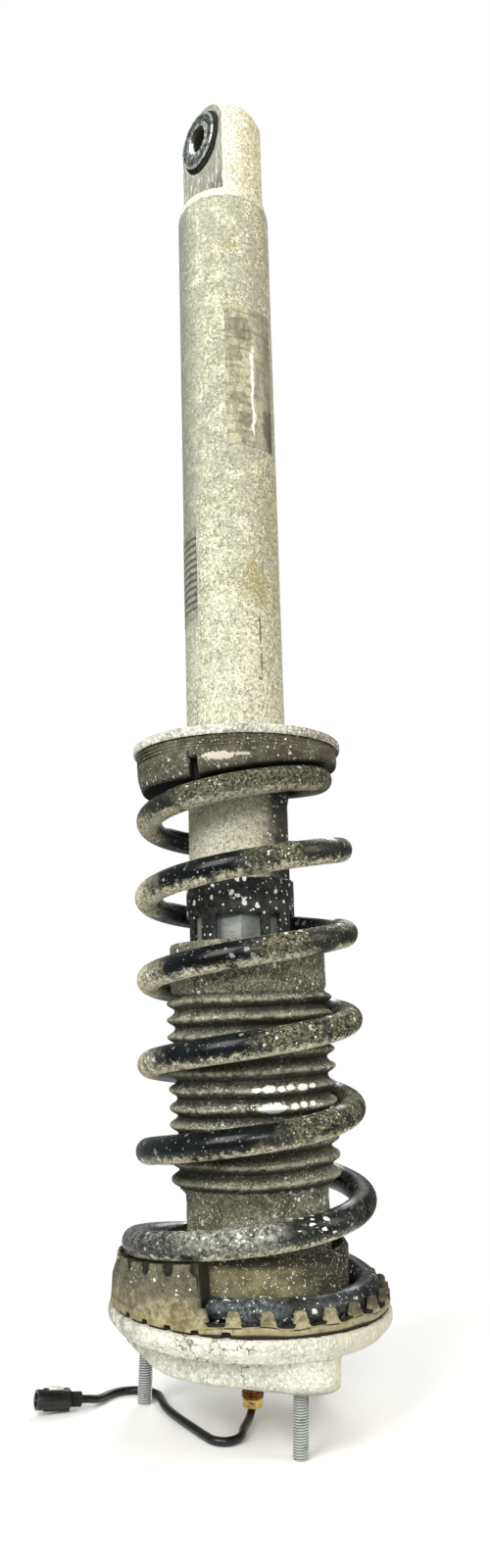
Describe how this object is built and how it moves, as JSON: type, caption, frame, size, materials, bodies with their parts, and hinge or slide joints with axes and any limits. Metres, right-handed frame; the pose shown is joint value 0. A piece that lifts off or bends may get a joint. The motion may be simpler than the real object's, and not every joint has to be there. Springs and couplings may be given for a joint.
{
  "type": "strut assembly",
  "caption": "Coil-over damper strut: cast top mount with studs, rubber spring pad, coil spring, ribbed dust boot, damper tube with a rubber-bushed lower eye, and a signal lead to its valve.",
  "frame": {"origin": "centre of the top mount's mating face, on the axis of the piston rod", "axes": "+Z along the piston rod from the top mount towards the lower eye; +X towards the side that the mount plate leans down to"},
  "size_m": [0.1933, 0.1524, 0.8005],
  "materials": {
    "cast_alloy": "cast, whitish corrosion and road dirt",
    "tube_alloy": "drawn tube, oxidised and speckled",
    "zinc_steel": "zinc plated, dull",
    "rusty_steel": "plain steel with light rust",
    "plain_steel": "machined steel",
    "chromed_rod": "ground hard chrome",
    "spring_enamel": "black enamel with dust and chips",
    "pad_rubber": "olive brown, caked with mud",
    "boot_rubber": "grey olive, dusty",
    "seat_rubber": "grey olive, dusty",
    "bush_rubber": "black moulded rubber",
    "seal_rubber": "smooth black nitrile",
    "stop_foam": "cream microcellular foam",
    "cap_plastic": "black moulded plastic",
    "plug_plastic": "black glossy plastic",
    "latch_plastic": "white moulded plastic",
    "band_plastic": "filled low-friction band",
    "guide_bronze": "sintered bronze",
    "gland_brass": "yellow passivated fitting",
    "lead_jacket": "black cable jacket",
    "label_film": "faded blank film"
  },
  "bodies": {
    "top_mount": {"mount_plate": "cast_alloy", "mount_studs": "zinc_steel", "mount_bush": "bush_rubber", "bush_core": "plain_steel", "lower_washer": "rusty_steel", "rod_nut": "rusty_steel", "spring_pad": "pad_rubber", "coil_spring": "spring_enamel", "dust_boot": "boot_rubber", "bump_cup": "plain_steel", "bump_stop": "stop_foam", "piston_rod": "chromed_rod", "rebound_stop": "seal_rubber", "piston": "plain_steel", "piston_band": "band_plastic", "valve_body": "plain_steel", "cable_gland": "gland_brass", "gland_seal": "seal_rubber", "signal_lead": "lead_jacket", "connector_housing": "plug_plastic", "connector_seal": "seal_rubber", "connector_latch": "latch_plastic"},
    "damper_tube": {"outer_tube": "tube_alloy", "eye_head": "cast_alloy", "spring_perch": "cast_alloy", "perch_ring": "plain_steel", "perch_seat": "seat_rubber", "tube_cap": "cap_plastic", "closure_nut": "plain_steel", "rod_seal": "seal_rubber", "rod_guide": "guide_bronze", "eye_bush_ring": "zinc_steel", "eye_bush_rubber": "bush_rubber", "tube_label": "label_film", "code_label": "label_film"},
    "gas_piston": {"gas_piston": "plain_steel", "gas_piston_seal": "seal_rubber"},
    "eye_sleeve": {"eye_sleeve": "zinc_steel", "eye_washers": "zinc_steel"}
  },
  "joints": [
    {"name": "damper_slide", "type": "slide", "parent": "top_mount", "child": "damper_tube", "axis": [0, 0, -1], "range_m": [0, 0.08], "stiffness_N_per_m": 20000, "springref_m": -0.002, "deforming": ["coil_spring", "dust_boot"]},
    {"name": "gas_piston_slide", "type": "slide", "parent": "damper_tube", "child": "gas_piston", "axis": [0, 0, 1], "range_m": [0, 0.0128]},
    {"name": "eye_twist", "type": "hinge", "parent": "damper_tube", "child": "eye_sleeve", "pos_m": [0, 0, 0.739], "axis": [-0.809, -0.5878, 0], "range_deg": [-12, 12], "stiffness_Nm_per_rad": 20}
  ],
  "couplings": [
    {"joint": "gas_piston_slide", "follows": "damper_slide", "ratio": 0.16}
  ]
}
